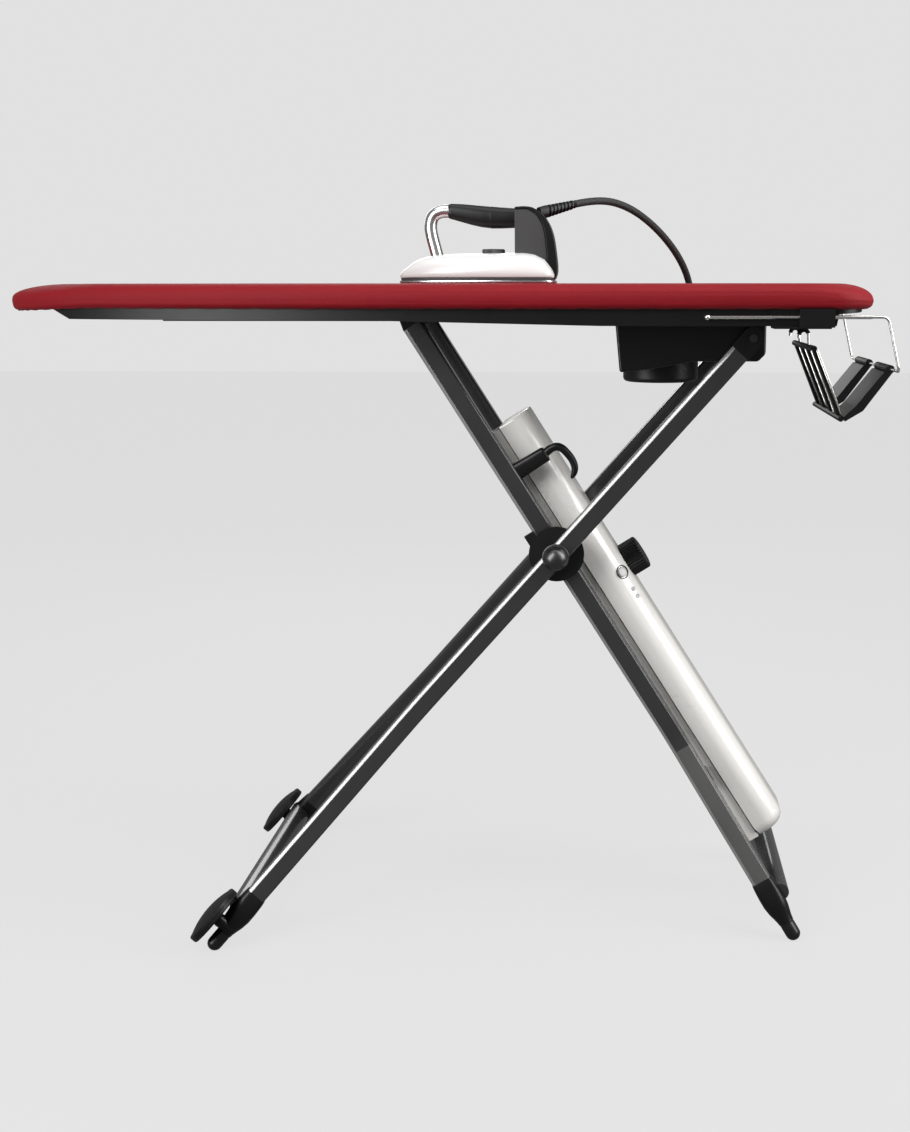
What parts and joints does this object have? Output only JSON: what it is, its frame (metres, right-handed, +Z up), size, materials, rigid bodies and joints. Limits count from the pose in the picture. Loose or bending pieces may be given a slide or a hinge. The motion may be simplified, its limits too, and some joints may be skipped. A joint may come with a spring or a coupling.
{
  "type": "steam ironing station",
  "caption": "Padded ironing board on folding scissor legs with wheels, a steam generator between the legs, a slide-out iron rest and a steam iron with its hose.",
  "frame": {"origin": "on the floor under the centre of the whole object", "axes": "+Z up; +X along the board from its nose towards its heel; +Y across the board, away from the side that carries the cord hook"},
  "size_m": [1.229, 0.494, 1.0382],
  "materials": {
    "cover": "satin woven cotton",
    "felt": "felt",
    "tray": "satin black powder coat",
    "mesh": "grey",
    "zinc": "bright zinc",
    "black_plastic": "fine grained black",
    "gloss_black": "polished black",
    "anodised": "dark anodised",
    "rubber": "moulded",
    "white_plastic": "glossy warm white",
    "grey_plastic": "satin grey",
    "chrome": "polished",
    "aluminium": "polished sole",
    "steel": "drawn",
    "silicone": "silicone coated",
    "hose": "black braided sleeve",
    "lamp": "clear lens"
  },
  "bodies": {
    "board": {"tray_shell": "tray", "perforated_top": "mesh", "felt_pad": "felt", "board_cover": "cover", "slide_rails": "zinc", "fan_housing": "black_plastic", "fan_bowl": "black_plastic", "fan_motor": "steel", "hinge_bolts": "steel", "rest_holders": "black_plastic", "hose_socket": "black_plastic", "steam_hose": "hose", "hose_hank": "hose"},
    "impeller": {"fan_impeller": "grey_plastic"},
    "outer_legs": {"outer_tube_far": "anodised", "outer_tube_near": "anodised", "outer_top_ends": "black_plastic", "outer_foot_bar": "anodised", "outer_end_caps": "black_plastic", "outer_feet": "rubber", "pivot_pins": "steel", "ball_caps": "gloss_black", "hub_discs": "black_plastic"},
    "far_wheel": {"wheel_far": "black_plastic"},
    "near_wheel": {"wheel_near": "black_plastic"},
    "inner_legs": {"inner_tube_far": "anodised", "inner_tube_near": "anodised", "inner_top_ends": "black_plastic", "inner_foot_bar": "anodised", "inner_end_caps": "black_plastic", "inner_feet": "rubber", "slider_axle": "steel", "slide_rollers": "grey_plastic", "ratchet_discs": "black_plastic", "generator_brackets": "black_plastic", "generator_upper_shell": "white_plastic", "generator_lower_shell": "grey_plastic", "boiler_tank": "aluminium", "heating_element": "aluminium", "filler_neck": "white_plastic", "hook_post": "black_plastic", "cord_hook": "black_plastic", "lamp_windows": "lamp", "mains_inlet": "black_plastic"},
    "filler_cap": {"filler_cap": "black_plastic", "cap_seal": "silicone"},
    "power_button": {"power_button": "grey_plastic"},
    "iron_rest": {"rest_wire": "chrome", "rest_plates": "silicone", "rest_rack": "silicone", "rest_hooks": "chrome"},
    "iron": {"iron_soleplate": "aluminium", "iron_skirt": "grey_plastic", "iron_shell": "white_plastic", "iron_handle_tube": "chrome", "iron_grip": "black_plastic", "iron_rear_plate": "grey_plastic", "iron_rear_shell": "black_plastic", "hose_strain_relief": "black_plastic"},
    "steam_dial": {"steam_dial": "grey_plastic"}
  },
  "joints": [
    {"name": "leg_fold", "type": "hinge", "parent": "board", "child": "outer_legs", "pos_m": [0.4285, 0, 0.844], "axis": [0, 1, 0], "range_deg": [-3, 37]},
    {"name": "leg_scissor", "type": "hinge", "parent": "outer_legs", "child": "inner_legs", "pos_m": [0.16498, 0, 0.54614], "axis": [0, 1, 0], "range_deg": [-78.5, 6.6]},
    {"name": "fan_spin", "type": "hinge", "parent": "board", "child": "impeller", "pos_m": [0.309, 0, 0.822], "axis": [0, 0, 1], "continuous": true},
    {"name": "far_wheel_spin", "type": "hinge", "parent": "outer_legs", "child": "far_wheel", "pos_m": [-0.3098, 0.204, 0.05025], "axis": [0.749, 0, -0.6626], "continuous": true},
    {"name": "near_wheel_spin", "type": "hinge", "parent": "outer_legs", "child": "near_wheel", "pos_m": [-0.3098, -0.204, 0.05025], "axis": [0.749, 0, -0.6626], "continuous": true},
    {"name": "cap_turn", "type": "hinge", "parent": "inner_legs", "child": "filler_cap", "pos_m": [0.27237, 0, 0.52573], "axis": [0.8462, 0, 0.5329], "range_deg": [0, 120]},
    {"name": "button_press", "type": "slide", "parent": "inner_legs", "child": "power_button", "axis": [-0.5983, 0.7071, -0.3768], "range_m": [0, 0.0015], "stiffness_N_per_m": 400},
    {"name": "rest_slide", "type": "slide", "parent": "board", "child": "iron_rest", "axis": [1, 0, 0], "range_m": [-0.035, 0.075]},
    {"name": "iron_lift", "type": "slide", "parent": "board", "child": "iron", "axis": [-0.3, 0, 0.9539], "range_m": [0, 0.05]},
    {"name": "dial_turn", "type": "hinge", "parent": "iron", "child": "steam_dial", "pos_m": [0.073, 0, 0.962], "axis": [0, 0, 1], "range_deg": [-60, 60]}
  ],
  "couplings": [
    {"joint": "leg_scissor", "follows": "leg_fold", "ratio": -2.11}
  ]
}
